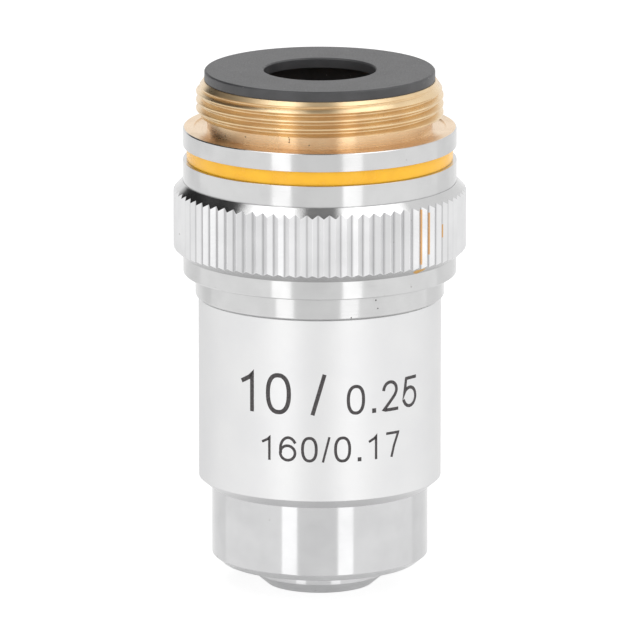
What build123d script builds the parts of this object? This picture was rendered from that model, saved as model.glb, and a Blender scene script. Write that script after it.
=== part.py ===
from build123d import *
from math import cos, pi, sin, sqrt
import os

# Microscope objective, all sizes in millimetres.
# The optical axis is Z. The shoulder that seats on the nosepiece is the plane z = 0, the mounting
# thread stands above it and the front lens looks down. The side with the figures faces -Y.

# Fits between neighbouring pieces
slide_gap = 0.05        # radial, between turned pieces that slide or screw together
lens_gap = 0.03         # radial, round a lens in its seat
cement = 0.01           # axial, between the two halves of a cemented doublet
edge_break = 0.08       # small chamfer on the turned edges
reach_through = 1.0     # how far a cutter runs past the face that it leaves

# Mounting thread and shoulder
thread_d = 20.32        # major diameter of the mounting thread
thread_end_h = 3.94     # brass end above the shoulder
lead_in_r = 0.6         # radial and axial size of the cone at the thread's start
lead_in_h = 0.85
relief_h = 1.1          # plain neck between thread and shoulder
relief_depth = 0.9
neck_wall = 0.7         # wall left round the baffle's spigot
seat_gap = 0.2          # the seating face starts this far outside the thread
seat_relief = 0.1       # depth of the relief between neck and seating face
shoulder_width = 1.09   # from the thread's crest out to the rim

# Rings below the shoulder, from the top down
shoulder_h = 1.5
band_h = 1.2            # groove that holds the colour code
band_groove_depth = 0.6
band_recess = 0.3       # the enamel stays this far inside the rim
ring_h = 1.7
grip_h = 6.25
grip_rise = 0.81        # the knurl's crest stands this far proud of the rings
grip_top_h = 0.85       # axial size of the cones at the grip's two ends
grip_foot_h = 0.7
knurl_count = 80
knurl_depth = 0.28
knurl_phase = 1.6       # degrees from the front to the nearest crest
skirt_h = 1.51
collar_h = 1.87
collar_step = 1.0       # the collar is this much smaller in radius than the rings
spigot_h = 2.6          # screws into the sleeve
spigot_wall = 1.15

# Rear baffle, the black stop ring in the thread's end
baffle_inset = 0.08     # from the brass end's edge
baffle_h = 0.84
baffle_edge = 0.12
baffle_hole_d = 9.2
baffle_hole_edge = 0.1
baffle_spigot_h = 2.6
baffle_spigot_wall = 0.75

# Satin sleeve
sleeve_step = 0.25      # smaller in radius than the collar above it
sleeve_length = 16.07
sleeve_wall = 1.03
sleeve_edge = 0.15
foot_h = 0.8            # cone at the sleeve's lower end
foot_land = 0.05        # flat left between that cone and the bore
ledge_width = 0.4       # seat for the lens barrel's flange

# Lens barrel, whose lower end is the bright nose
barrel_reach = 16.97    # from the flange's seat down to the nose's end face
barrel_wall = 1.9
flange_h = 1.4
tail_h = 2.38           # barrel above its flange
tail_gap = 0.15
nose_edge_r = 0.7
nose_edge_h = 0.6
floor_h = 2.85          # thickness of the nose's end wall
shim_h = 0.25
shim_count = 2
clamp_h = 1.15
end_gap = 0.3           # axial, past the end of a screwed spigot
clamp_wall = 1.15

# Front cell, the tip that carries the front doublet
tip_d = 11.0
tip_h = 1.06            # cylindrical part of the tip
tip_cone_h = 0.93
tip_cone_r = 1.1
shank_step = 1.05       # the shank is this much smaller in radius than the tip
shank_short = 0.2       # the shank ends this far below the nose's inner floor
shank_wall = 1.2
recess_h = 0.4
recess_r = 0.5          # the recess flares by this much
lip_h = 0.3
lip_width = 0.62        # overlap of the lip on the lens

# Front doublet
front_flint_h = 1.0     # on the axis
front_crown_edge = 1.03     # at the rim
front_cement_curve = 2.5    # radius of the cemented faces over the lens's own radius
front_back_curve = 2.8
front_ring_h = 1.1
front_ring_wall = 0.5

# Rear doublet and its cell
stop_h = 0.4
stop_width = 2.85       # from the barrel's bore in to the hole
spacer_wall = 1.05
rear_cell_wall = 1.4
rear_cell_spare = 0.25  # cell wall past the retaining ring
rear_lip_h = 0.5
rear_lip_width = 0.62
rear_flint_h = 1.2
rear_crown_edge = 1.0
rear_cement_curve = 2.55
rear_back_curve = 3.25
rear_ring_h = 1.3
rear_ring_wall = 0.6
lock_h = 1.1

# Spanner slots in the screwed rings
slot_width = 0.8
slot_depth = 0.45


def sag(curve_radius, height):
    """How far a sphere falls away from its vertex plane at a height off the axis."""
    return curve_radius - sqrt(curve_radius**2 - height**2)


# Radii that follow from the sizes above
thread_r = thread_d / 2
relief_r = thread_r - relief_depth
thread_end_r = thread_r - lead_in_r
baffle_bore_r = relief_r - neck_wall
baffle_r = thread_end_r - baffle_inset
rim_r = thread_r + shoulder_width
grip_r = rim_r + grip_rise
collar_r = rim_r - collar_step
sleeve_r = collar_r - sleeve_step
sleeve_bore_r = sleeve_r - sleeve_wall
nose_r = sleeve_bore_r - slide_gap
sleeve_thread_r = sleeve_bore_r + ledge_width
spigot_r = sleeve_thread_r - slide_gap
mount_bore_r = spigot_r - spigot_wall
tail_r = mount_bore_r - tail_gap
barrel_bore_r = nose_r - barrel_wall
insert_r = barrel_bore_r - slide_gap
tip_r = tip_d / 2
shank_r = tip_r - shank_step
front_seat_r = shank_r - shank_wall
front_lens_r = front_seat_r - lens_gap
front_clear_r = front_lens_r - lip_width
rear_seat_r = insert_r - rear_cell_wall
rear_lens_r = rear_seat_r - lens_gap
rear_clear_r = rear_lens_r - rear_lip_width
rear_ring_r = rear_seat_r - slide_gap

# The two doublets' curves and centre thicknesses
front_cement_radius = front_cement_curve * front_lens_r
front_back_radius = front_back_curve * front_lens_r
front_sags = sag(front_cement_radius, front_lens_r) + sag(front_back_radius, front_lens_r)
front_crown_h = front_crown_edge + front_sags
rear_cement_radius = rear_cement_curve * rear_lens_r
rear_back_radius = rear_back_curve * rear_lens_r
rear_sags = sag(rear_cement_radius, rear_lens_r) + sag(rear_back_radius, rear_lens_r)
rear_crown_h = rear_crown_edge + rear_sags
rear_stack_h = rear_flint_h + cement + rear_crown_h
rear_ring_foot = rear_lip_h + rear_stack_h - sag(rear_back_radius, rear_ring_r - rear_ring_wall)
rear_cell_h = rear_ring_foot + rear_ring_h + rear_cell_spare

# Heights that follow, from the shoulder down
band_top = -shoulder_h
ring_top = band_top - band_h
grip_top = ring_top - ring_h
skirt_top = grip_top - grip_h
collar_top = skirt_top - skirt_h
sleeve_top = collar_top - collar_h
sleeve_end = sleeve_top - sleeve_length
spigot_end = sleeve_top - spigot_h
clamp_top = spigot_end - end_gap
flange_top = clamp_top - clamp_h
flange_seat = flange_top - flange_h
ledge = flange_seat - shim_count * shim_h
nose_end = flange_seat - barrel_reach
barrel_floor = nose_end + floor_h
barrel_tail = flange_top + tail_h
tip_end = nose_end - tip_h - tip_cone_h
front_seat = tip_end + recess_h + lip_h
lock_top = barrel_tail - slot_depth / 2
rear_cell_top = lock_top - lock_h
rear_cell_end = rear_cell_top - rear_cell_h
stop_end = rear_cell_end - stop_h
rear_seat = rear_cell_end + rear_lip_h


def turned(*corners):
    """Spin a half section, given as (radius, height) corners, about the optical axis."""
    section = make_face(Polyline(*corners, close=True))
    return revolve(Plane.XZ * section, Axis.Z)


def tube(outer, inner, low, high):
    """A plain ring between two heights."""
    return turned((inner, low), (outer, low), (outer, high), (inner, high))


def spanner_slots(radius, top):
    """Two slots across a ring's upper face, for a pin spanner."""
    blade = Box(2 * (radius + reach_through), slot_width, 2 * slot_depth)
    return Pos(0, 0, top) * blade


def knurl_grooves():
    """What a straight knurl leaves out: everything outside a ring of V-shaped teeth."""
    half_pitch = pi / knurl_count
    first = (knurl_phase - 90) * pi / 180
    teeth = []
    for step in range(2 * knurl_count):
        radius = grip_r - knurl_depth * (step % 2)
        angle = first + step * half_pitch
        teeth.append((radius * cos(angle), radius * sin(angle)))
    blank = Circle(grip_r + reach_through)
    outside = blank - make_face(Polyline(*teeth, close=True))
    return Pos(0, 0, skirt_top) * extrude(outside, grip_h)


def threaded_mount():
    """Thread, shoulder, colour groove, grip and collar, turned from one bar."""
    seat_r = thread_r + seat_gap
    groove_r = rim_r - band_groove_depth
    body = turned(
        (baffle_bore_r, thread_end_h),
        (thread_end_r, thread_end_h),
        (thread_r, thread_end_h - lead_in_h),
        (thread_r, relief_h),
        (relief_r, relief_h),
        (relief_r, -seat_relief),
        (seat_r, -seat_relief),
        (seat_r, 0),
        (rim_r - edge_break, 0),
        (rim_r, -edge_break),
        (rim_r, band_top),
        (groove_r, band_top),
        (groove_r, ring_top),
        (rim_r, ring_top),
        (rim_r, grip_top),
        (grip_r, grip_top - grip_top_h),
        (grip_r, skirt_top + grip_foot_h),
        (rim_r, skirt_top),
        (rim_r, collar_top + edge_break),
        (rim_r - edge_break, collar_top),
        (collar_r, collar_top),
        (collar_r, sleeve_top + edge_break),
        (collar_r - edge_break, sleeve_top),
        (spigot_r, sleeve_top),
        (spigot_r, spigot_end),
        (mount_bore_r, spigot_end),
        (mount_bore_r, thread_end_h - baffle_spigot_h - end_gap),
        (baffle_bore_r, thread_end_h - baffle_spigot_h - end_gap),
    )
    return body - knurl_grooves()


def colour_band():
    """Enamel that fills the bottom of the colour groove."""
    return tube(rim_r - band_recess, rim_r - band_groove_depth, ring_top, band_top)


def rear_baffle():
    """Black stop ring: a disc with the light path's hole, on a spigot in the mount's bore."""
    top = thread_end_h + baffle_h
    hole_r = baffle_hole_d / 2
    spigot = baffle_bore_r - slide_gap
    inside = spigot - baffle_spigot_wall
    return turned(
        (hole_r, thread_end_h),
        (hole_r, top - baffle_hole_edge),
        (hole_r + baffle_hole_edge, top),
        (baffle_r - baffle_edge, top),
        (baffle_r, top - baffle_edge),
        (baffle_r, thread_end_h),
        (spigot, thread_end_h),
        (spigot, thread_end_h - baffle_spigot_h),
        (inside, thread_end_h - baffle_spigot_h),
        (inside, thread_end_h),
    )


def barrel_sleeve():
    """Satin outer sleeve, screwed on the mount, with an inner ledge for the lens barrel."""
    return turned(
        (sleeve_thread_r, sleeve_top),
        (sleeve_r - sleeve_edge, sleeve_top),
        (sleeve_r, sleeve_top - sleeve_edge),
        (sleeve_r, sleeve_end + foot_h),
        (sleeve_bore_r + foot_land, sleeve_end),
        (sleeve_bore_r, sleeve_end),
        (sleeve_bore_r, ledge),
        (sleeve_thread_r, ledge),
    )


def lens_barrel():
    """Inner barrel: flange in the sleeve, bright nose below it, bore for the optics."""
    shank_hole_r = shank_r + slide_gap
    return turned(
        (shank_hole_r, nose_end),
        (nose_r - nose_edge_r, nose_end),
        (nose_r, nose_end + nose_edge_h),
        (nose_r, flange_seat),
        (spigot_r, flange_seat),
        (spigot_r, flange_top),
        (tail_r, flange_top),
        (tail_r, barrel_tail),
        (barrel_bore_r, barrel_tail),
        (barrel_bore_r, barrel_floor),
        (shank_hole_r, barrel_floor),
    )


def parfocal_shims():
    """Thin washers under the flange, chosen to set the focus height."""
    washers = [
        tube(spigot_r, nose_r + slide_gap, ledge + n * shim_h, ledge + (n + 1) * shim_h)
        for n in range(shim_count)
    ]
    return Compound(washers)


def clamp_ring():
    """Screwed ring that holds the barrel's flange down in the sleeve."""
    ring = tube(spigot_r, spigot_r - clamp_wall, flange_top, clamp_top)
    return ring - spanner_slots(spigot_r, clamp_top)


def front_cell():
    """Tip of the nose: conical end, recessed window and a screwed shank."""
    shank_top = barrel_floor - shank_short
    return turned(
        (front_clear_r + recess_r, tip_end),
        (tip_r - tip_cone_r, tip_end),
        (tip_r, tip_end + tip_cone_h),
        (tip_r, nose_end),
        (shank_r, nose_end),
        (shank_r, shank_top),
        (front_seat_r, shank_top),
        (front_seat_r, front_seat),
        (front_clear_r, front_seat),
        (front_clear_r, tip_end + recess_h),
    )


def flint(radius, seat, thickness, cement_radius):
    """Flat-fronted flint whose hollow back takes the crown."""
    rim = seat + thickness + sag(cement_radius, radius)
    middle = seat + thickness + sag(cement_radius, radius / 2)
    back = ThreePointArc((radius, rim), (radius / 2, middle), (0, seat + thickness))
    outline = Polyline((0, seat + thickness), (0, seat), (radius, seat), (radius, rim))
    return revolve(Plane.XZ * make_face(outline + back), Axis.Z)


def crown(radius, vertex, thickness, cement_radius, back_radius):
    """Biconvex crown, cemented on the flint."""
    half = radius / 2
    top = vertex + thickness
    front_rim = vertex + sag(cement_radius, radius)
    back_rim = top - sag(back_radius, radius)
    front = ThreePointArc(
        (0, vertex), (half, vertex + sag(cement_radius, half)), (radius, front_rim)
    )
    edge = Line((radius, front_rim), (radius, back_rim))
    back = ThreePointArc((radius, back_rim), (half, top - sag(back_radius, half)), (0, top))
    axis = Line((0, top), (0, vertex))
    return revolve(Plane.XZ * make_face(front + edge + back + axis), Axis.Z)


def retaining_ring(radius, wall, lens_top, back_radius, height):
    """Screwed ring that bears on the lens's convex back with its inner edge."""
    inside = radius - wall
    bottom = lens_top - sag(back_radius, inside)
    ring = tube(radius, inside, bottom, bottom + height)
    return ring - spanner_slots(radius, bottom + height)


def front_flint():
    return flint(front_lens_r, front_seat, front_flint_h, front_cement_radius)


def front_crown():
    vertex = front_seat + front_flint_h + cement
    return crown(front_lens_r, vertex, front_crown_h, front_cement_radius, front_back_radius)


def front_retaining_ring():
    lens_top = front_seat + front_flint_h + cement + front_crown_h
    return retaining_ring(
        front_seat_r - slide_gap, front_ring_wall, lens_top, front_back_radius, front_ring_h
    )


def spacer_tube():
    """Blackened tube between the nose's floor and the stop: sets the lens spacing."""
    return tube(insert_r, insert_r - spacer_wall, barrel_floor, stop_end)


def aperture_stop():
    return tube(insert_r, insert_r - stop_width, stop_end, rear_cell_end)


def rear_lens_cell():
    """Cell that drops into the barrel and carries the rear doublet on its lip."""
    return turned(
        (rear_clear_r, rear_cell_end),
        (insert_r, rear_cell_end),
        (insert_r, rear_cell_top),
        (rear_seat_r, rear_cell_top),
        (rear_seat_r, rear_seat),
        (rear_clear_r, rear_seat),
    )


def rear_flint():
    return flint(rear_lens_r, rear_seat, rear_flint_h, rear_cement_radius)


def rear_crown():
    vertex = rear_seat + rear_flint_h + cement
    return crown(rear_lens_r, vertex, rear_crown_h, rear_cement_radius, rear_back_radius)


def rear_retaining_ring():
    lens_top = rear_seat + rear_stack_h
    return retaining_ring(rear_ring_r, rear_ring_wall, lens_top, rear_back_radius, rear_ring_h)


def cell_lock_ring():
    """Screwed ring in the barrel's tail that clamps the cell, the stop and the spacer."""
    ring = tube(insert_r, rear_seat_r + slide_gap, rear_cell_top, lock_top)
    return ring - spanner_slots(insert_r, lock_top)


PIECES = [
    threaded_mount,
    colour_band,
    rear_baffle,
    barrel_sleeve,
    lens_barrel,
    parfocal_shims,
    clamp_ring,
    front_cell,
    front_flint,
    front_crown,
    front_retaining_ring,
    spacer_tube,
    aperture_stop,
    rear_lens_cell,
    rear_flint,
    rear_crown,
    rear_retaining_ring,
    cell_lock_ring,
]

os.makedirs("parts", exist_ok=True)
for piece in PIECES:
    export_step(piece(), f"parts/{piece.__name__}.step")
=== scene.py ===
from math import cos, pi, radians, sin, tan

import bpy
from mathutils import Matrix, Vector


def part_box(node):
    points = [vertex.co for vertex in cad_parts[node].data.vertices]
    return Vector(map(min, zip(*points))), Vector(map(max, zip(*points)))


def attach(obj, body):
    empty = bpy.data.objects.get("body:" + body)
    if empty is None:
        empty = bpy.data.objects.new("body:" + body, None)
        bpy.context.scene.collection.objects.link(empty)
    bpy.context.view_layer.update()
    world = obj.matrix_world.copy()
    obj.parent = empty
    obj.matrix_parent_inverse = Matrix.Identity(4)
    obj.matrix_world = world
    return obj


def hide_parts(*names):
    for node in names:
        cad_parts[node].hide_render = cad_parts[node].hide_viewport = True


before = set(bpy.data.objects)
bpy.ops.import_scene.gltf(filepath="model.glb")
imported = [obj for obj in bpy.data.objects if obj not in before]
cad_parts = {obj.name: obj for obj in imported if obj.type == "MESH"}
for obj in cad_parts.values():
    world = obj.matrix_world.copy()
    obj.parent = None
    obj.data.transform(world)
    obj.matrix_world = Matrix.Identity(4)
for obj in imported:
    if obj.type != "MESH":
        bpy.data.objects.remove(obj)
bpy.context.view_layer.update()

# The objective stands on its nose: the optical axis is Z, the shoulder is z = 0, the figures face -Y.
mm = 0.001
round_steps = 256       # straight edges in every turned circle

# Places that the frame gives
mount_low, mount_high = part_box("threaded_mount")
baffle_low, baffle_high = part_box("rear_baffle")
sleeve_low, sleeve_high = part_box("barrel_sleeve")
barrel_low, barrel_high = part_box("lens_barrel")
tip_low, tip_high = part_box("front_cell")
band_low, band_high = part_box("colour_band")

# Mounting thread, neck and shoulder
brass_end = mount_high.z
thread_r = 10.16 * mm
lead_in_r = 0.6 * mm
lead_in_h = 0.85 * mm
relief_h = 1.1 * mm
neck_r = 9.26 * mm
seat_r = 10.36 * mm
seat_relief = 0.1 * mm
thread_pitch = 25.4 / 36 * mm
thread_depth = 0.452 * mm
thread_groove = 0.588 * mm      # width of the groove at the crest
thread_flank = radians(27.5)
thread_crest_front = 3.17 * mm  # height of a crest on the side that faces -Y
thread_turns = 5

# Rings, grip and collar
rim_r = 11.25 * mm
rim_edge = 0.08 * mm
band_groove_r = 10.65 * mm
ring_h = 1.7 * mm
grip_h = 6.25 * mm
grip_r = mount_high.x
grip_top_h = 0.85 * mm
grip_foot_h = 0.7 * mm
skirt_h = 1.51 * mm
undercut = 0.06 * mm            # fine groove between the second ring and the grip
knurl_count = 80
knurl_depth = 0.28 * mm
knurl_phase = radians(1.6)
knurl_edge = 0.035 * mm
rounding_face = 0.01 * mm * mm  # faces smaller than this belong to a rounded edge
narrow_share = 0.2              # faces under this share of the widest don't turn a corner's normal
collar_r = 10.25 * mm
spigot_r = 9.32 * mm
mount_bore_r = 8.17 * mm
baffle_bore_r = 8.56 * mm
baffle_bore_h = 2.9 * mm

# Rear baffle
baffle_hole_r = 4.6 * mm
baffle_h = 0.84 * mm
baffle_edge = 0.12 * mm
baffle_hole_edge = 0.1 * mm
baffle_spigot_r = 8.51 * mm
baffle_inside_r = 7.76 * mm

# Sleeve, nose and tip
sleeve_r = sleeve_high.x
sleeve_edge = 0.15 * mm
sleeve_thread_r = 9.37 * mm
sleeve_bore_r = 8.97 * mm
foot_h = 0.8 * mm
foot_land = 0.05 * mm
ledge = -19.98 * mm
nose_r = 8.92 * mm
nose_edge_r = 0.7 * mm
nose_edge_h = 0.6 * mm
nose_end = barrel_low.z
flange_top = -18.08 * mm
flange_seat = -19.48 * mm
tail_r = 8.02 * mm
barrel_bore_r = 7.02 * mm
barrel_floor = nose_end + 2.85 * mm
shank_r = 4.45 * mm
slide_gap = 0.05 * mm
tip_r = tip_high.x
tip_cone_r = 1.1 * mm
tip_cone_h = 0.93 * mm
recess_r = 3.1 * mm
window_r = 2.6 * mm
recess_h = 0.4 * mm
lip_h = 0.3 * mm
front_seat_r = 3.25 * mm

# Figures on the sleeve: measured along the sleeve from the middle of the side that faces -Y
figure_proud = 0.012 * mm
figure_sunk = 0.03 * mm

# Camera, found from the outline and the edge ellipses
camera_elevation = radians(12.81)
camera_distance = 878 * mm
camera_aim = -16 * mm
camera_lens = 598.9
camera_shift = (0.0003, -0.0063)

# The studio's unlit corner is left, behind and high; between the two overhead boxes is a darker gap
unlit_corner = (-0.629, 0.492, 0.602)
unlit_gap = (0.12, 0.27)        # half width of the gap, where it is darkest and where it ends


def deselect_all():
    bpy.ops.object.select_all(action="DESELECT")


def make_active(piece):
    deselect_all()
    piece.select_set(True)
    bpy.context.view_layer.objects.active = piece


def edit(piece):
    make_active(piece)
    bpy.ops.object.mode_set(mode="EDIT")


def leave_edit():
    bpy.ops.object.mode_set(mode="OBJECT")


def name_piece(piece, name):
    piece.name = name
    piece.data.name = name


def apply_modifier(piece, kind, **settings):
    """Add a modifier, set it and apply it at once."""
    make_active(piece)
    modifier = piece.modifiers.new(kind.lower(), kind)
    for setting, value in settings.items():
        setattr(modifier, setting, value)
    bpy.ops.object.modifier_apply(modifier=modifier.name)


def round_edges(piece, width, steps=3):
    apply_modifier(
        piece, "BEVEL", width=width, segments=steps, limit_method="ANGLE", angle_limit=radians(20)
    )


def smooth_shade(piece, angle=38):
    """Smooth over the rounds; the widest faces at a corner set its normal, so flats stay flat."""
    make_active(piece)
    bpy.ops.object.shade_smooth_by_angle(angle=radians(angle))
    mesh = piece.data
    around = [[] for vertex in mesh.vertices]
    for polygon in mesh.polygons:
        for corner in polygon.vertices:
            around[corner].append(polygon)
    normals = []
    for polygon in mesh.polygons:
        for corner in polygon.vertices:
            kin = [
                face for face in around[corner] if face.normal.dot(polygon.normal) > cos(radians(angle))
            ]
            widest = max((face.area for face in kin), default=0)
            total = Vector((0, 0, 0))
            for face in kin:
                if face.area > narrow_share * widest:
                    total += face.normal * face.area
            normals.append((total if total.length else polygon.normal).normalized())
    mesh.normals_split_custom_set(normals)
    flat = mesh.attributes.new("flat", "FLOAT", "POINT")
    for share, faces in zip(flat.data, around):
        share.value = 1.0 if any(face.area > rounding_face for face in faces) else 0.0


def cut(piece, cutter):
    """Take the cutter's shape out of the piece."""
    apply_modifier(piece, "BOOLEAN", operation="DIFFERENCE", solver="EXACT", object=cutter)
    bpy.data.objects.remove(cutter)


def circle(name, radius, height, steps=round_steps):
    deselect_all()
    bpy.ops.mesh.primitive_circle_add(vertices=steps, radius=radius, location=(0, 0, height))
    ring = bpy.context.object
    name_piece(ring, name)
    bpy.ops.object.transform_apply(location=True)
    return ring


def close_ring():
    """Join the two open ends of an extruded section, in edit mode."""
    bpy.ops.mesh.select_all(action="DESELECT")
    bpy.ops.mesh.select_non_manifold()
    bpy.ops.mesh.bridge_edge_loops()
    bpy.ops.mesh.select_all(action="SELECT")
    bpy.ops.mesh.normals_make_consistent(inside=False)


def turned(name, corners, edge=0.0, steps=round_steps):
    """Extrude a circle from corner to corner of a half section, each a radius and a height."""
    piece = circle(name, corners[0][0], corners[0][1], steps)
    edit(piece)
    bpy.ops.mesh.select_all(action="SELECT")
    for (r0, z0), (r1, z1) in zip(corners, corners[1:]):
        bpy.ops.mesh.extrude_edges_move(TRANSFORM_OT_translate={"value": (0, 0, z1 - z0)})
        bpy.ops.transform.resize(value=(r1 / r0, r1 / r0, 1), center_override=(0, 0, 0))
    close_ring()
    leave_edit()
    if edge:
        round_edges(piece, edge)
    return piece


def select_vertices(piece, wanted):
    """Select the vertices whose place passes a test, from edit mode."""
    bpy.ops.mesh.select_all(action="DESELECT")
    leave_edit()
    for vertex in piece.data.vertices:
        vertex.select = wanted(vertex)
    bpy.ops.object.mode_set(mode="EDIT")


# Mounting thread, shoulder, rings, grip and collar


def mount_blank():
    """The turned blank, before its thread and its knurl are cut."""
    band_top = band_high.z
    ring_top = band_low.z
    grip_top = ring_top - ring_h
    skirt_top = grip_top - grip_h
    collar_top = skirt_top - skirt_h
    sleeve_top = sleeve_high.z
    crest_r = grip_r + 0.05 * mm
    top_slope = grip_top_h / (grip_r - rim_r)
    foot_slope = grip_foot_h / (grip_r - rim_r)
    return turned(
        "threaded_mount_body",
        [
            (baffle_bore_r, brass_end),
            (thread_r - lead_in_r, brass_end),
            (thread_r, brass_end - lead_in_h),
            (thread_r, relief_h),
            (neck_r, relief_h),
            (neck_r, -seat_relief),
            (seat_r, -seat_relief),
            (seat_r, 0),
            (rim_r - rim_edge, 0),
            (rim_r, -rim_edge),
            (rim_r, band_top),
            (band_groove_r, band_top),
            (band_groove_r, ring_top),
            (rim_r, ring_top),
            (rim_r, grip_top),
            (rim_r - undercut, grip_top),
            (rim_r - undercut, grip_top - undercut),
            (rim_r + undercut / top_slope, grip_top - undercut),
            (crest_r, grip_top - (crest_r - rim_r) * top_slope),
            (crest_r, skirt_top + (crest_r - rim_r) * foot_slope),
            (rim_r, skirt_top),
            (rim_r, collar_top + rim_edge),
            (rim_r - rim_edge, collar_top),
            (collar_r, collar_top),
            (collar_r, sleeve_top + rim_edge),
            (collar_r - rim_edge, sleeve_top),
            (spigot_r, sleeve_top),
            (spigot_r, mount_low.z),
            (mount_bore_r, mount_low.z),
            (mount_bore_r, brass_end - baffle_bore_h),
            (baffle_bore_r, brass_end - baffle_bore_h),
        ],
        edge=0.035 * mm,
    )


def knurl_cutter():
    """A ring whose inner wall is a star: it leaves sharp teeth where it meets the grip."""
    grip_top = band_low.z - ring_h
    top = grip_top + 0.1 * mm
    low = grip_top - grip_h - 0.1 * mm
    star = circle("knurl_cutter", grip_r, low, 2 * knurl_count)
    edit(star)
    bpy.ops.mesh.select_all(action="SELECT")
    bpy.ops.transform.rotate(
        value=knurl_turn(star), orient_axis="Z", center_override=(0, 0, 0)
    )
    select_vertices(star, lambda vertex: vertex.index % 2 == 1)
    inward = (grip_r - knurl_depth) / grip_r
    bpy.ops.transform.resize(value=(inward, inward, 1), center_override=(0, 0, 0))
    bpy.ops.mesh.select_all(action="SELECT")
    bpy.ops.mesh.extrude_edges_move(TRANSFORM_OT_translate={"value": (0, 0, top - low)})
    bpy.ops.mesh.select_all(action="SELECT")
    leave_edit()
    upright_edges = [
        edge
        for edge in star.data.edges
        if abs(star.data.vertices[edge.vertices[0]].co.z - star.data.vertices[edge.vertices[1]].co.z)
        > mm
    ]
    for edge in star.data.edges:
        edge.select = False
    for vertex in star.data.vertices:
        vertex.select = False
    for edge in upright_edges:
        edge.select = True
    bpy.ops.object.mode_set(mode="EDIT")
    bpy.ops.mesh.bevel(offset=knurl_edge, segments=2, affect="EDGES")
    select_vertices(star, lambda vertex: vertex.co.z > (top + low) / 2)
    bpy.ops.mesh.extrude_edges_move()
    outward = (grip_r + mm) / grip_r
    bpy.ops.transform.resize(value=(outward, outward, 1), center_override=(0, 0, 0))
    bpy.ops.mesh.extrude_edges_move(TRANSFORM_OT_translate={"value": (0, 0, low - top)})
    close_ring()
    leave_edit()
    return star


def knurl_turn(star):
    """Angle that brings a crest to its measured place beside the front."""
    first = star.data.vertices[0].co
    here = Vector((first.x, first.y)).angle_signed(Vector((1, 0)))
    return here - (knurl_phase - pi / 2)


def thread_cutter():
    """A groove section swept along the right-hand helix of the mounting thread."""
    root_r = thread_r - thread_depth
    outer_r = thread_r + 0.1 * mm
    middle_r = (root_r + outer_r) / 2
    half_root = thread_groove / 2 - thread_depth * tan(thread_flank)
    half_outer = thread_groove / 2 + (outer_r - thread_r) * tan(thread_flank)
    start = thread_crest_front + thread_pitch / 2 + thread_pitch / 4 - 4 * thread_pitch
    deselect_all()
    bpy.ops.mesh.primitive_plane_add(
        size=1, location=(middle_r, 0, start), rotation=(pi / 2, 0, 0)
    )
    groove = bpy.context.object
    name_piece(groove, "thread_cutter")
    bpy.ops.object.transform_apply(location=True, rotation=True)
    edit(groove)
    middle = (middle_r, 0, start)
    bpy.ops.mesh.select_all(action="SELECT")
    bpy.ops.transform.resize(value=(outer_r - root_r, 1, 1), center_override=middle)
    select_vertices(groove, lambda vertex: vertex.co.x > middle_r)
    bpy.ops.transform.resize(value=(1, 1, 2 * half_outer), center_override=middle)
    select_vertices(groove, lambda vertex: vertex.co.x < middle_r)
    bpy.ops.transform.resize(value=(1, 1, 2 * half_root), center_override=middle)
    bpy.ops.mesh.bevel(offset=0.05 * mm, segments=2, affect="VERTICES")
    bpy.ops.mesh.select_all(action="SELECT")
    bpy.ops.mesh.delete(type="ONLY_FACE")
    leave_edit()
    apply_modifier(
        groove,
        "SCREW",
        axis="Z",
        angle=2 * pi,
        screw_offset=thread_pitch,
        iterations=thread_turns,
        steps=round_steps,
        render_steps=round_steps,
    )
    edit(groove)
    bpy.ops.mesh.select_all(action="SELECT")
    bpy.ops.mesh.remove_doubles(threshold=0.001 * mm)
    bpy.ops.mesh.select_all(action="DESELECT")
    bpy.ops.mesh.select_non_manifold()
    bpy.ops.mesh.fill_holes(sides=0)
    bpy.ops.mesh.select_all(action="SELECT")
    bpy.ops.mesh.normals_make_consistent(inside=False)
    leave_edit()
    return groove


def make_mount():
    mount = mount_blank()
    cut(mount, knurl_cutter())
    cut(mount, thread_cutter())
    smooth_shade(mount, 28)
    return mount


# The other turned pieces


def make_colour_band():
    """Enamel laid in the groove, a little below the rim."""
    return turned(
        "enamel_band",
        [
            (band_groove_r, band_low.z),
            (band_high.x - 0.04 * mm, band_low.z),
            (band_high.x, band_low.z + 0.12 * mm),
            (band_high.x, band_high.z - 0.12 * mm),
            (band_high.x - 0.04 * mm, band_high.z),
            (band_groove_r, band_high.z),
        ],
        edge=0.03 * mm,
    )


def make_rear_baffle():
    top = baffle_high.z
    foot = top - baffle_h
    return turned(
        "baffle_ring",
        [
            (baffle_hole_r, foot),
            (baffle_hole_r, top - baffle_hole_edge),
            (baffle_hole_r + baffle_hole_edge, top),
            (baffle_high.x - baffle_edge, top),
            (baffle_high.x, top - baffle_edge),
            (baffle_high.x, foot),
            (baffle_spigot_r, foot),
            (baffle_spigot_r, baffle_low.z),
            (baffle_inside_r, baffle_low.z),
            (baffle_inside_r, foot),
        ],
        edge=0.04 * mm,
    )


def make_sleeve():
    low, top = sleeve_low.z, sleeve_high.z
    return turned(
        "satin_sleeve",
        [
            (sleeve_thread_r, top),
            (sleeve_r - sleeve_edge, top),
            (sleeve_r, top - sleeve_edge),
            (sleeve_r, low + foot_h),
            (sleeve_bore_r + foot_land, low),
            (sleeve_bore_r, low),
            (sleeve_bore_r, ledge),
            (sleeve_thread_r, ledge),
        ],
        edge=0.03 * mm,
    )


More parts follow.
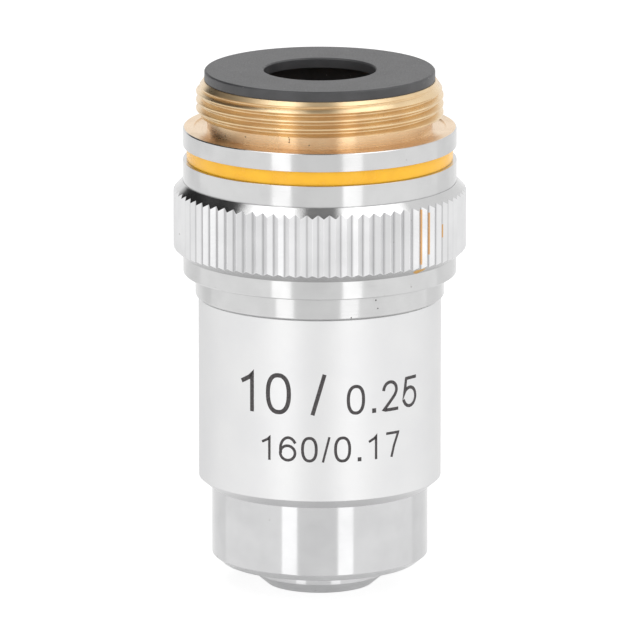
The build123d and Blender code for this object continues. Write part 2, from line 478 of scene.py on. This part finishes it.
def make_barrel():
    """Barrel and nose: the nose shows below the sleeve's foot."""
    return turned(
        "nose_barrel",
        [
            (shank_r + slide_gap, nose_end),
            (nose_r - nose_edge_r, nose_end),
            (nose_r, nose_end + nose_edge_h),
            (nose_r, flange_seat),
            (spigot_r, flange_seat),
            (spigot_r, flange_top),
            (tail_r, flange_top),
            (tail_r, barrel_high.z),
            (barrel_bore_r, barrel_high.z),
            (barrel_bore_r, barrel_floor),
            (shank_r + slide_gap, barrel_floor),
        ],
        edge=0.05 * mm,
    )


def make_tip():
    seat = tip_low.z + recess_h + lip_h
    return turned(
        "tip_cell",
        [
            (recess_r, tip_low.z),
            (tip_r - tip_cone_r, tip_low.z),
            (tip_r, tip_low.z + tip_cone_h),
            (tip_r, nose_end),
            (shank_r, nose_end),
            (shank_r, tip_high.z),
            (front_seat_r, tip_high.z),
            (front_seat_r, seat),
            (window_r, seat),
            (window_r, tip_low.z + recess_h),
        ],
        edge=0.03 * mm,
    )


# The figures on the sleeve


def arc(centre, radii, start, end, steps=14):
    """Points on an oval, from one angle to another in degrees."""
    points = []
    for step in range(steps + 1):
        angle = radians(start + (end - start) * step / steps)
        points.append((centre[0] + radii[0] * cos(angle), centre[1] + radii[1] * sin(angle)))
    return points


def straight(start, end, steps=6):
    points = []
    for step in range(steps + 1):
        share = step / steps
        points.append(
            (start[0] + (end[0] - start[0]) * share, start[1] + (end[1] - start[1]) * share)
        )
    return points


def squared_oval(steps=40, squareness=2.35):
    """The ring of a nought: an oval with its sides a little straightened."""
    points = []
    for step in range(steps):
        angle = 2 * pi * step / steps
        across, up = cos(angle), sin(angle)
        points.append(
            (
                0.5 + 0.5 * abs(across) ** (2 / squareness) * (1 if across > 0 else -1),
                0.5 + 0.5 * abs(up) ** (2 / squareness) * (1 if up > 0 else -1),
            )
        )
    return points + points[:1]


# Pen paths of the plain figures, in a box from 0 to 1 both ways
PEN_PATHS = {
    "0": [squared_oval()],
    "1": [
        straight((0, 0.76), (0.45, 0.83), 3)
        + straight((0.72, 0.87), (1, 0.95), 2)
        + straight((1, 0.9), (1, 0), 6)
    ],
    "2": [
        arc((0.49, 0.72), (0.47, 0.28), 172, -25, 18)
        + straight((0.82, 0.5), (0.05, 0.02), 5)
        + straight((0.15, 0), (1, 0), 5)
    ],
    "5": [
        straight((0.96, 1), (0.22, 1), 4)
        + straight((0.2, 0.97), (0.08, 0.5), 4)
        + arc((0.5, 0.33), (0.5, 0.33), 138, -158, 22)
    ],
    "6": [
        arc((0.5, 0.32), (0.5, 0.32), 0, 360, 30),
        arc((0.55, 0.5), (0.54, 0.5), 38, 195, 18),
    ],
    "7": [
        straight((0, 1), (1, 1), 5)
        + straight((0.98, 0.95), (0.62, 0.45), 3)
        + straight((0.52, 0.25), (0.4, 0), 2)
    ],
    "/": [straight((0, 0), (1, 1), 6)],
    ".": [straight((0.5, 0), (0.5, 1), 1)],
}

# Each figure: its sign, the place of its left edge, its foot, width and height, and the pen's width
FIRST_LINE = [
    ("1", -6.95, -22.10, 1.25, 3.45, 0.36),
    ("0", -4.56, -22.10, 2.18, 3.45, 0.36),
    ("/", -0.72, -22.06, 1.23, 3.42, 0.33),
    ("0", 2.22, -22.10, 1.57, 2.50, 0.27),
    (".", 4.42, -22.09, 0.37, 0.38, 0.36),
    ("2", 5.35, -22.12, 1.62, 2.58, 0.27),
    ("5", 7.42, -22.12, 1.70, 2.62, 0.27),
]
SECOND_LINE = [
    ("1", -4.93, -26.00, 0.78, 2.08, 0.21),
    ("6", -3.41, -26.02, 1.48, 2.13, 0.23),
    ("0", -1.54, -26.02, 1.37, 2.15, 0.24),
    ("/", 0.18, -26.02, 0.68, 2.13, 0.19),
    ("0", 1.17, -26.05, 1.42, 2.18, 0.24),
    (".", 3.14, -26.04, 0.35, 0.34, 0.32),
    ("1", 4.12, -26.00, 0.77, 2.12, 0.21),
    ("7", 5.75, -26.00, 1.32, 2.13, 0.22),
]


def longer(end, before, extra):
    """The end of a line, moved on by half the pen's width."""
    run = Vector(end) - Vector(before)
    return tuple(Vector(end) + run.normalized() * extra)


def pen_stroke(path, width):
    """Extrude a point along a path of (along, up), then give the line its depth and the pen's width."""
    front = -(sleeve_r + figure_proud)
    if path[0] != path[-1]:
        first = longer(path[0], path[1], width / 2)
        last = longer(path[-1], path[-2], width / 2)
        path = [first, *path[1:-1], last]
    deselect_all()
    bpy.ops.mesh.primitive_plane_add(
        size=0.1 * mm, location=(path[0][0], front, path[0][1]), rotation=(pi / 2, 0, 0)
    )
    stroke = bpy.context.object
    bpy.ops.object.transform_apply(location=True, rotation=True)
    edit(stroke)
    bpy.ops.mesh.select_all(action="SELECT")
    bpy.ops.mesh.merge(type="CENTER")
    for (a0, z0), (a1, z1) in zip(path, path[1:]):
        bpy.ops.mesh.extrude_vertices_move(
            TRANSFORM_OT_translate={"value": (a1 - a0, 0, z1 - z0)}
        )
    bpy.ops.mesh.select_all(action="SELECT")
    bpy.ops.mesh.remove_doubles(threshold=0.002 * mm)
    bpy.ops.mesh.extrude_edges_move(
        TRANSFORM_OT_translate={"value": (0, figure_proud + figure_sunk, 0)}
    )
    leave_edit()
    apply_modifier(stroke, "SOLIDIFY", thickness=width, offset=0, use_even_offset=True)
    edit(stroke)
    bpy.ops.mesh.select_all(action="SELECT")
    bpy.ops.mesh.normals_make_consistent(inside=False)
    leave_edit()
    return stroke


def wrap_on_sleeve(piece):
    """Lay a flat drawing round the sleeve, so that lengths along it stay true."""
    for vertex in piece.data.vertices:
        angle = vertex.co.x / sleeve_r
        radius = -vertex.co.y
        vertex.co.x = radius * sin(angle)
        vertex.co.y = -radius * cos(angle)


def make_figures(name, line):
    strokes = []
    for sign, left, foot, wide, high, pen in line:
        for path in PEN_PATHS[sign]:
            placed = [
                (
                    (left + pen / 2 + across * (wide - pen)) * mm,
                    (foot + pen / 2 + up * (high - pen)) * mm,
                )
                for across, up in path
            ]
            strokes.append(pen_stroke(placed, pen * mm))
    deselect_all()
    for stroke in strokes:
        stroke.select_set(True)
    bpy.context.view_layer.objects.active = strokes[0]
    bpy.ops.object.join()
    figures = bpy.context.object
    name_piece(figures, name)
    wrap_on_sleeve(figures)
    return figures


# Finishes

# Streaks of enamel left in three valleys of the knurl: degrees from the front, foot and top in mm
STRAY_ENAMEL = [(44.35, -9.8, -5.2), (48.85, -9.1, -5.6), (57.85, -8.0, -6.9)]
# Small marks: degrees from the front, height, distance from the axis and size in mm
STRAY_DROPS = [(42.5, -10.35, 11.6, 0.3), (44.3, -10.42, 11.55, 0.42), (46.2, -10.3, 11.6, 0.3)]
GRIT = [(26.5, -12.6, 10.25, 0.08), (27.5, -13.3, 10.25, 0.07), (14.5, -13.9, 10.25, 0.07)]
# A short hair that clings to the neck: degrees from the front and height in mm
HAIR = [
    (-23.1, 1.22),
    (-21.6, 1.24),
    (-20.1, 1.23),
    (-18.7, 1.2),
    (-17.4, 1.12),
    (-16.4, 1.02),
    (-15.8, 0.9),
    (-15.5, 0.76),
    (-15.5, 0.62),
    (-15.6, 0.48),
]
HAIR_ON_NECK = [(turn, height, 9.28, 0.075) for turn, height in HAIR]
HAIR_ON_THREAD = [(turn, height, 9.7, 0.075) for turn, height in HAIR[:3]]


def node(tree, kind, **settings):
    made = tree.nodes.new(kind)
    for setting, value in settings.items():
        setattr(made, setting, value)
    return made


def fresh_material(name):
    material = bpy.data.materials.new(name)
    material.use_nodes = True
    return material, material.node_tree, material.node_tree.nodes["Principled BSDF"]


def object_place(tree):
    return node(tree, "ShaderNodeTexCoord").outputs["Object"]


def from_axis(tree, place):
    """Distance from the optical axis."""
    split = node(tree, "ShaderNodeSeparateXYZ")
    tree.links.new(place, split.inputs[0])
    flat = node(tree, "ShaderNodeCombineXYZ")
    tree.links.new(split.outputs["X"], flat.inputs["X"])
    tree.links.new(split.outputs["Y"], flat.inputs["Y"])
    length = node(tree, "ShaderNodeVectorMath", operation="LENGTH")
    tree.links.new(flat.outputs[0], length.inputs[0])
    return length.outputs["Value"]


def turning_path(tree, place):
    """Runs with the tool's feed: height plus distance from the axis."""
    split = node(tree, "ShaderNodeSeparateXYZ")
    tree.links.new(place, split.inputs[0])
    total = node(tree, "ShaderNodeMath", operation="ADD")
    tree.links.new(split.outputs["Z"], total.inputs[0])
    tree.links.new(from_axis(tree, place), total.inputs[1])
    return total.outputs[0]


def scaled(tree, value, factor):
    product = node(tree, "ShaderNodeMath", operation="MULTIPLY")
    product.inputs[1].default_value = factor
    tree.links.new(value, product.inputs[0])
    return product.outputs[0]


def tool_lines(tree, place, pitch):
    """Fine lines left by the turning tool."""
    lines = node(tree, "ShaderNodeTexNoise", noise_dimensions="1D")
    lines.inputs["Scale"].default_value = 1.0
    lines.inputs["Detail"].default_value = 3.0
    tree.links.new(scaled(tree, turning_path(tree, place), 1 / pitch), lines.inputs["W"])
    return lines.outputs[0]


def clouds(tree, place, size, detail=4.0):
    noise = node(tree, "ShaderNodeTexNoise")
    noise.inputs["Scale"].default_value = 1 / size
    noise.inputs["Detail"].default_value = detail
    tree.links.new(place, noise.inputs["Vector"])
    return noise.outputs[0]


def spread(tree, value, low, high, to_low, to_high):
    """Map a value from one range to another, held at the ends."""
    mapped = node(tree, "ShaderNodeMapRange")
    mapped.inputs["From Min"].default_value = low
    mapped.inputs["From Max"].default_value = high
    mapped.inputs["To Min"].default_value = to_low
    mapped.inputs["To Max"].default_value = to_high
    tree.links.new(value, mapped.inputs["Value"])
    return mapped.outputs["Result"]


def blend_colour(tree, share, first, second):
    """Mix two colours by a share; each colour is a tuple or a socket."""
    mix = node(tree, "ShaderNodeMix", data_type="RGBA")
    tree.links.new(share, mix.inputs["Factor"])
    for socket, colour in ((mix.inputs[6], first), (mix.inputs[7], second)):
        if isinstance(colour, tuple):
            socket.default_value = (*colour, 1.0)
        else:
            tree.links.new(colour, socket)
    return mix.outputs[2]


def bumped(tree, height, depth, under=None):
    bump = node(tree, "ShaderNodeBump")
    bump.inputs["Distance"].default_value = depth
    tree.links.new(height, bump.inputs["Height"])
    if under is not None:
        tree.links.new(under, bump.inputs["Normal"])
    return bump.outputs["Normal"]


def edge_share(tree, low=0.52, high=0.58):
    """How much an outer edge is rubbed; the wide faces beside it stay clean."""
    geometry = node(tree, "ShaderNodeNewGeometry")
    rubbed = spread(tree, geometry.outputs["Pointiness"], low, high, 0.0, 1.0)
    wide = node(tree, "ShaderNodeAttribute", attribute_name="flat")
    return times(tree, rubbed, spread(tree, wide.outputs["Fac"], 0.0, 1.0, 1.0, 0.0))


def times(tree, first, second):
    product = node(tree, "ShaderNodeMath", operation="MULTIPLY")
    tree.links.new(first, product.inputs[0])
    tree.links.new(second, product.inputs[1])
    return product.outputs[0]


def near(tree, value, target, reach):
    """1 where a value is within reach of a target."""
    close = node(tree, "ShaderNodeMath", operation="COMPARE")
    tree.links.new(value, close.inputs[0])
    close.inputs[1].default_value = target
    close.inputs[2].default_value = reach
    return close.outputs[0]


def streak(tree, place, turn, half_turn, low, high):
    """A thin upright mark, at so many degrees to the right of the front."""
    split = node(tree, "ShaderNodeSeparateXYZ")
    tree.links.new(place, split.inputs[0])
    angle = node(tree, "ShaderNodeMath", operation="ARCTAN2")
    tree.links.new(split.outputs["X"], angle.inputs[0])
    tree.links.new(scaled(tree, split.outputs["Y"], -1.0), angle.inputs[1])
    beside = near(tree, angle.outputs[0], radians(turn), radians(half_turn))
    along = near(tree, split.outputs["Z"], (low + high) / 2, (high - low) / 2)
    return times(tree, beside, along)


def spot(tree, place, centre, size):
    """A small round mark."""
    away = node(tree, "ShaderNodeVectorMath", operation="DISTANCE")
    away.inputs[1].default_value = centre
    tree.links.new(place, away.inputs[0])
    return spread(tree, away.outputs["Value"], 0.6 * size, size, 1.0, 0.0)


def tinted(material, mask, colour):
    """Lay a colour over what the material has, where the mask shows it."""
    tree = material.node_tree
    base = tree.nodes["Principled BSDF"].inputs["Base Color"]
    under = base.links[0].from_socket
    tree.links.new(blend_colour(tree, mask, under, colour), base)


def turned_metal(name, colour, deep, shine, dull, line_depth, across=0.95, pitch=0.09, bright=None):
    """Metal off the lathe: lines, faint clouds, rubbed edges and a few dark specks."""
    material, tree, shader = fresh_material(name)
    place = object_place(tree)
    lines = tool_lines(tree, place, pitch * mm)
    cloud = clouds(tree, place, 2.6 * mm)
    tarnish = blend_colour(tree, spread(tree, cloud, 0.35, 0.7, 0.0, 1.0), colour, deep)
    rubbed = blend_colour(tree, scaled(tree, edge_share(tree), 0.6), tarnish, bright or colour)
    specks = spread(tree, clouds(tree, place, 0.45 * mm, 1.0), 0.79, 0.81, 0.0, 0.7)
    soiled = blend_colour(tree, specks, rubbed, (0.16, 0.13, 0.1))
    tree.links.new(soiled, shader.inputs["Base Color"])
    both = times(tree, lines, cloud)
    tree.links.new(spread(tree, both, 0.12, 0.4, shine, dull), shader.inputs["Roughness"])
    shader.inputs["Metallic"].default_value = 1.0
    shader.inputs["Anisotropic"].default_value = across
    shader.inputs["Anisotropic Rotation"].default_value = 0.25
    tangent = node(tree, "ShaderNodeTangent", direction_type="RADIAL", axis="Z")
    tree.links.new(tangent.outputs[0], shader.inputs["Tangent"])
    tree.links.new(bumped(tree, lines, line_depth * mm), shader.inputs["Normal"])
    return material


def satin_plate():
    """Blasted and plated sleeve: pale, even and grainy."""
    material, tree, shader = fresh_material("satin_plate")
    place = object_place(tree)
    cloud = clouds(tree, place, 3.5 * mm)
    grain = clouds(tree, place, 0.09 * mm, 3.0)
    cloudy = spread(tree, cloud, 0.3, 0.7, 0.0, 1.0)
    shade = blend_colour(tree, cloudy, (0.765, 0.765, 0.765), (0.735, 0.735, 0.74))
    rubbed = blend_colour(tree, scaled(tree, edge_share(tree), 0.5), shade, (0.86, 0.86, 0.86))
    tree.links.new(rubbed, shader.inputs["Base Color"])
    shader.inputs["Metallic"].default_value = 1.0
    tree.links.new(spread(tree, grain, 0.2, 0.8, 0.4, 0.5), shader.inputs["Roughness"])
    tree.links.new(bumped(tree, grain, 0.004 * mm), shader.inputs["Normal"])
    return material


def yellow_enamel():
    """Glossy enamel run into the groove, a little uneven."""
    material, tree, shader = fresh_material("yellow_enamel")
    place = object_place(tree)
    cloud = clouds(tree, place, 1.8 * mm)
    cloudy = spread(tree, cloud, 0.3, 0.75, 0.0, 1.0)
    shade = blend_colour(tree, cloudy, (0.98, 0.53, 0.018), (0.92, 0.46, 0.014))
    rubbed = blend_colour(tree, scaled(tree, edge_share(tree), 0.4), shade, (0.97, 0.62, 0.14))
    tree.links.new(rubbed, shader.inputs["Base Color"])
    tree.links.new(spread(tree, cloud, 0.3, 0.7, 0.18, 0.3), shader.inputs["Roughness"])
    tree.links.new(bumped(tree, cloud, 0.02 * mm), shader.inputs["Normal"])
    return material


def black_anodised():
    """Black oxide over turned metal, with a fine dusty bloom."""
    material, tree, shader = fresh_material("black_anodised")
    place = object_place(tree)
    cloud = clouds(tree, place, 2.0 * mm)
    grain = clouds(tree, place, 0.12 * mm, 3.0)
    cloudy = spread(tree, cloud, 0.3, 0.7, 0.0, 1.0)
    shade = blend_colour(tree, cloudy, (0.036, 0.036, 0.038), (0.055, 0.055, 0.058))
    rubbed = blend_colour(tree, scaled(tree, edge_share(tree), 0.25), shade, (0.2, 0.2, 0.2))
    dust = spread(tree, clouds(tree, place, 0.2 * mm, 1.0), 0.775, 0.8, 0.0, 0.5)
    tree.links.new(blend_colour(tree, dust, rubbed, (0.6, 0.6, 0.6)), shader.inputs["Base Color"])
    tree.links.new(spread(tree, grain, 0.25, 0.75, 0.34, 0.5), shader.inputs["Roughness"])
    tree.links.new(bumped(tree, grain, 0.006 * mm), shader.inputs["Normal"])
    return material


def etched_black():
    """Dark fill of the figures, mottled where the surface shows through."""
    material, tree, shader = fresh_material("etched_black")
    place = object_place(tree)
    cloud = clouds(tree, place, 0.16 * mm, 3.0)
    cloudy = spread(tree, cloud, 0.35, 0.7, 0.0, 1.0)
    shade = blend_colour(tree, cloudy, (0.03, 0.028, 0.028), (0.085, 0.075, 0.078))
    worn = blend_colour(tree, scaled(tree, edge_share(tree), 0.2), shade, (0.15, 0.14, 0.14))
    tree.links.new(worn, shader.inputs["Base Color"])
    tree.links.new(spread(tree, cloud, 0.3, 0.7, 0.55, 0.8), shader.inputs["Roughness"])
    tree.links.new(bumped(tree, cloud, 0.005 * mm), shader.inputs["Normal"])
    return material


def coated_glass(name, tint, bloom, index):
    """Lens glass with a thin coloured coating, faint wipe marks and a ground rim."""
    material, tree, shader = fresh_material(name)
    place = object_place(tree)
    wipe = clouds(tree, place, 1.5 * mm)
    shade = blend_colour(tree, spread(tree, wipe, 0.3, 0.7, 0.0, 1.0), tint, tuple(0.96 * c for c in tint))
    tree.links.new(shade, shader.inputs["Base Color"])
    tree.links.new(spread(tree, wipe, 0.4, 0.8, 0.01, 0.05), shader.inputs["Roughness"])
    tree.links.new(bumped(tree, wipe, 0.0004 * mm), shader.inputs["Normal"])
    shader.inputs["IOR"].default_value = index
    shader.inputs["Transmission Weight"].default_value = 1.0
    shader.inputs["Specular Tint"].default_value = (*bloom, 1.0)
    return material


def paint_valley_shade(material):
    """Painted shade: the bottoms of the knurl's valleys are darkened, as shade falls there between the
    teeth.
    """
    tree = material.node_tree
    valley_shade = spread(
        tree,
        from_axis(tree, object_place(tree)),
        grip_r - knurl_depth,
        grip_r - 0.75 * knurl_depth,
        0.55,
        0.0,
    )
    # grey of the painted shade in the valleys
    tinted(material, valley_shade, (0.2, 0.2, 0.205))


def add_streaks(material, marks, colour):
    tree = material.node_tree
    place = object_place(tree)
    for turn, low, high in marks:
        mark = streak(tree, place, turn, 0.55, low * mm, high * mm)
        tinted(material, scaled(tree, mark, 0.85), colour)


def add_spots(material, marks, colour):
    tree = material.node_tree
    place = object_place(tree)
    for turn, height, distance, size in marks:
        centre = Vector((distance * sin(radians(turn)), -distance * cos(radians(turn)), height)) * mm
        tinted(material, spot(tree, place, centre, size * mm), colour)


pale_brass = (0.95, 0.8, 0.55)
plated_brass = turned_metal(
    "plated_brass", (0.61, 0.61, 0.61), (0.565, 0.565, 0.565), 0.14, 0.26, 0.001, bright=(0.8, 0.8, 0.8)
)
knurled_plate = turned_metal(
    "knurled_plate",
    (0.72, 0.72, 0.725),
    (0.67, 0.67, 0.675),
    0.3,
    0.42,
    0.0006,
    across=0.2,
    bright=(0.9, 0.9, 0.9),
)
bare_brass = turned_metal(
    "bare_brass", (0.85, 0.64, 0.41), (0.78, 0.55, 0.33), 0.22, 0.34, 0.0014, bright=pale_brass
)
thread_brass = turned_metal(
    "thread_brass", (0.81, 0.62, 0.38), (0.74, 0.53, 0.3), 0.24, 0.36, 0.0014, bright=pale_brass
)
bright_chrome = turned_metal(
    "bright_chrome", (0.61, 0.61, 0.615), (0.57, 0.57, 0.575), 0.12, 0.22, 0.0008, bright=(0.8, 0.8, 0.8)
)
blackened_brass = turned_metal(
    "blackened_brass", (0.05, 0.047, 0.043), (0.03, 0.03, 0.03), 0.4, 0.55, 0.002, bright=(0.3, 0.2, 0.1)
)
# Painted shade in the knurl's valleys
paint_valley_shade(knurled_plate)
add_streaks(knurled_plate, STRAY_ENAMEL, (0.62, 0.33, 0.1))
add_spots(plated_brass, STRAY_DROPS, (0.8, 0.42, 0.05))
add_spots(plated_brass, GRIT, (0.06, 0.055, 0.05))
add_spots(bare_brass, HAIR_ON_NECK, (0.16, 0.08, 0.04))
add_spots(thread_brass, HAIR_ON_THREAD, (0.16, 0.08, 0.04))
satin = satin_plate()
enamel = yellow_enamel()
black = black_anodised()
etched = etched_black()
crown_glass = coated_glass("crown_glass", (0.95, 0.98, 0.97), (0.75, 0.55, 1.0), 1.52)
flint_glass = coated_glass("flint_glass", (0.97, 0.97, 0.9), (0.6, 0.7, 1.0), 1.62)


def finish_piece(piece, slot, *materials):
    piece.data.materials.clear()
    for material in materials:
        piece.data.materials.append(material)
    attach(piece, "root")


def paint_mount(mount):
    """Brass on the thread, the neck, the seat and the bore, and brighter metal on the cut knurl."""
    for polygon in mount.data.polygons:
        radius = polygon.center.xy.length
        if polygon.center.z > relief_h:
            polygon.material_index = 3
        elif polygon.center.z > -1.5 * seat_relief and radius < rim_r - 1.2 * rim_edge:
            polygon.material_index = 1
        elif radius < mount_bore_r + 0.1 * mm:
            polygon.material_index = 1
        elif radius > rim_r + 0.3 * mm and abs(polygon.normal.z) < 0.3:
            polygon.material_index = 2


mount = make_mount()
finish_piece(mount, "plated_brass", plated_brass, bare_brass, knurled_plate, thread_brass)
paint_mount(mount)
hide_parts("threaded_mount")

band = make_colour_band()
smooth_shade(band)
finish_piece(band, "yellow_enamel", enamel)
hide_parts("colour_band")

baffle = make_rear_baffle()
smooth_shade(baffle)
finish_piece(baffle, "black_anodised", black)
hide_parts("rear_baffle")

sleeve = make_sleeve()
smooth_shade(sleeve)
finish_piece(sleeve, "satin_chrome", satin)
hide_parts("barrel_sleeve")

barrel = make_barrel()
smooth_shade(barrel)
finish_piece(barrel, "bright_chrome", bright_chrome)
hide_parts("lens_barrel")

tip = make_tip()
smooth_shade(tip)
finish_piece(tip, "bright_chrome", bright_chrome)
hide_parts("front_cell")

for figures_name, line in (("figures_first_line", FIRST_LINE), ("figures_second_line", SECOND_LINE)):
    figures = make_figures(figures_name, line)
    smooth_shade(figures, 30)
    finish_piece(figures, "satin_chrome", etched)

# The inner pieces keep their CAD meshes and get their finishes
INNER_FINISHES = {
    "parfocal_shims": bare_brass,
    "clamp_ring": bare_brass,
    "front_flint": flint_glass,
    "front_crown": crown_glass,
    "front_retaining_ring": blackened_brass,
    "spacer_tube": black,
    "aperture_stop": black,
    "rear_lens_cell": blackened_brass,
    "rear_flint": flint_glass,
    "rear_crown": crown_glass,
    "rear_retaining_ring": blackened_brass,
    "cell_lock_ring": bare_brass,
}
for inner_name, finish in INNER_FINISHES.items():
    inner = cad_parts[inner_name]
    inner.data.materials.clear()
    inner.data.materials.append(finish)


# Studio


def floor_disc(name, radius, height, mirrored):
    deselect_all()
    bpy.ops.mesh.primitive_circle_add(
        vertices=96, radius=radius, fill_type="NGON", location=(0, 0, height)
    )
    disc = bpy.context.object
    name_piece(disc, name)
    disc.visible_glossy = mirrored
    return disc


def make_floor():
    """A pale floor, and on it the small patch under the tip that the tip mirrors."""
    floor = floor_disc("floor", 1.5, tip_low.z - 0.02 * mm, False)
    patch = floor_disc("floor_patch", 9 * mm, tip_low.z, True)
    material, tree, shader = fresh_material("pale_floor")
    tree.nodes.remove(shader)
    output = tree.nodes["Material Output"]
    paint = node(tree, "ShaderNodeBsdfDiffuse")
    glow = node(tree, "ShaderNodeEmission")
    camera_ray = node(tree, "ShaderNodeLightPath").outputs["Is Camera Ray"]
    pale = blend_colour(tree, camera_ray, (0.8, 0.8, 0.8), (0.3, 0.3, 0.3))
    tree.links.new(pale, paint.inputs["Color"])
    tree.links.new(spread(tree, camera_ray, 0.0, 1.0, 0.3, 0.85), glow.inputs["Strength"])
    both = node(tree, "ShaderNodeAddShader")
    tree.links.new(paint.outputs[0], both.inputs[0])
    tree.links.new(glow.outputs[0], both.inputs[1])
    tree.links.new(both.outputs[0], output.inputs["Surface"])
    for disc in (floor, patch):
        disc.data.materials.append(material)


def make_lamp(name, azimuth, elevation, distance, wide, high, brightness):
    """A soft box that faces the object; brightness is how bright its face looks."""
    turn, rise = radians(azimuth), radians(elevation)
    place = Vector((sin(turn) * cos(rise), -cos(turn) * cos(rise), sin(rise))) * distance
    data = bpy.data.lights.new(name, "AREA")
    data.shape = "RECTANGLE"
    data.size = wide
    data.size_y = high
    data.energy = brightness * pi * wide * high
    lamp = bpy.data.objects.new(name, data)
    lamp.location = place + Vector((0, 0, camera_aim))
    lamp.rotation_euler = place.to_track_quat("Z", "Y").to_euler()
    bpy.context.collection.objects.link(lamp)
    return lamp


def unlit_zone(tree, place, direction, low, high, darkest):
    """Fade to a dark patch round one direction."""
    toward = node(tree, "ShaderNodeVectorMath", operation="DOT_PRODUCT")
    toward.inputs[1].default_value = direction
    tree.links.new(place, toward.inputs[0])
    return spread(tree, toward.outputs["Value"], low, high, 1.0, darkest)


def make_world():
    """White round the object, darker overhead where the studio has no lamp."""
    world = bpy.data.worlds.new("studio")
    bpy.context.scene.world = world
    world.use_nodes = True
    tree = world.node_tree
    back = tree.nodes["Background"]
    back.inputs["Color"].default_value = (1, 1, 1, 1)
    path = node(tree, "ShaderNodeLightPath")
    split = node(tree, "ShaderNodeSeparateXYZ")
    place = node(tree, "ShaderNodeTexCoord").outputs["Generated"]
    tree.links.new(place, split.inputs[0])
    below = spread(tree, split.outputs["Z"], -0.95, -0.45, 0.88, 1.0)
    aside = node(tree, "ShaderNodeMath", operation="ABSOLUTE")
    tree.links.new(split.outputs["X"], aside.inputs[0])
    between = spread(tree, aside.outputs[0], *unlit_gap, 1.0, 0.0)
    high = spread(tree, split.outputs["Z"], 0.72, 0.86, 0.0, 0.75)
    overhead = spread(tree, times(tree, between, high), 0.0, 1.0, 1.0, 0.0)
    corner = unlit_zone(tree, place, unlit_corner, 0.81, 0.89, 0.02)
    shaped = times(tree, times(tree, overhead, below), corner)
    mirrored = node(tree, "ShaderNodeMath", operation="MAXIMUM")
    tree.links.new(path.outputs["Is Glossy Ray"], mirrored.inputs[0])
    tree.links.new(path.outputs["Is Transmission Ray"], mirrored.inputs[1])
    lit = times(tree, shaped, spread(tree, mirrored.outputs[0], 0.0, 1.0, 0.96, 1.0))
    mix = node(tree, "ShaderNodeMix", data_type="FLOAT")
    tree.links.new(path.outputs["Is Camera Ray"], mix.inputs[0])
    tree.links.new(lit, mix.inputs[2])
    mix.inputs[3].default_value = 1.0
    tree.links.new(mix.outputs[0], back.inputs["Strength"])


def make_camera():
    data = bpy.data.cameras.new("camera")
    data.lens = camera_lens
    data.sensor_width = 36
    data.shift_x, data.shift_y = camera_shift
    data.clip_start, data.clip_end = 0.01, 20
    camera = bpy.data.objects.new("camera", data)
    camera.location = (
        0,
        -camera_distance * cos(camera_elevation),
        camera_aim + camera_distance * sin(camera_elevation),
    )
    camera.rotation_euler = (pi / 2 - camera_elevation, 0, 0)
    bpy.context.collection.objects.link(camera)
    bpy.context.scene.camera = camera


make_floor()
make_lamp("strip_left", -32.3, 0, 0.6, 0.174, 1.4, 0.68)
make_lamp("strip_right", 27.5, 0, 0.6, 0.174, 1.4, 0.68)
make_lamp("side_left", -80, 0, 0.7, 1.2, 1.3, 0.13)
make_lamp("side_right", 76, 0, 0.7, 1.2, 1.3, 0.14)
make_lamp("overhead_left", -72, 66, 1.1, 0.68, 0.42, 1.6)
make_lamp("overhead_right", 76, 64, 1.1, 0.7, 0.5, 1.5)
make_world()
make_camera()

bpy.context.scene.view_settings.view_transform = "Standard"
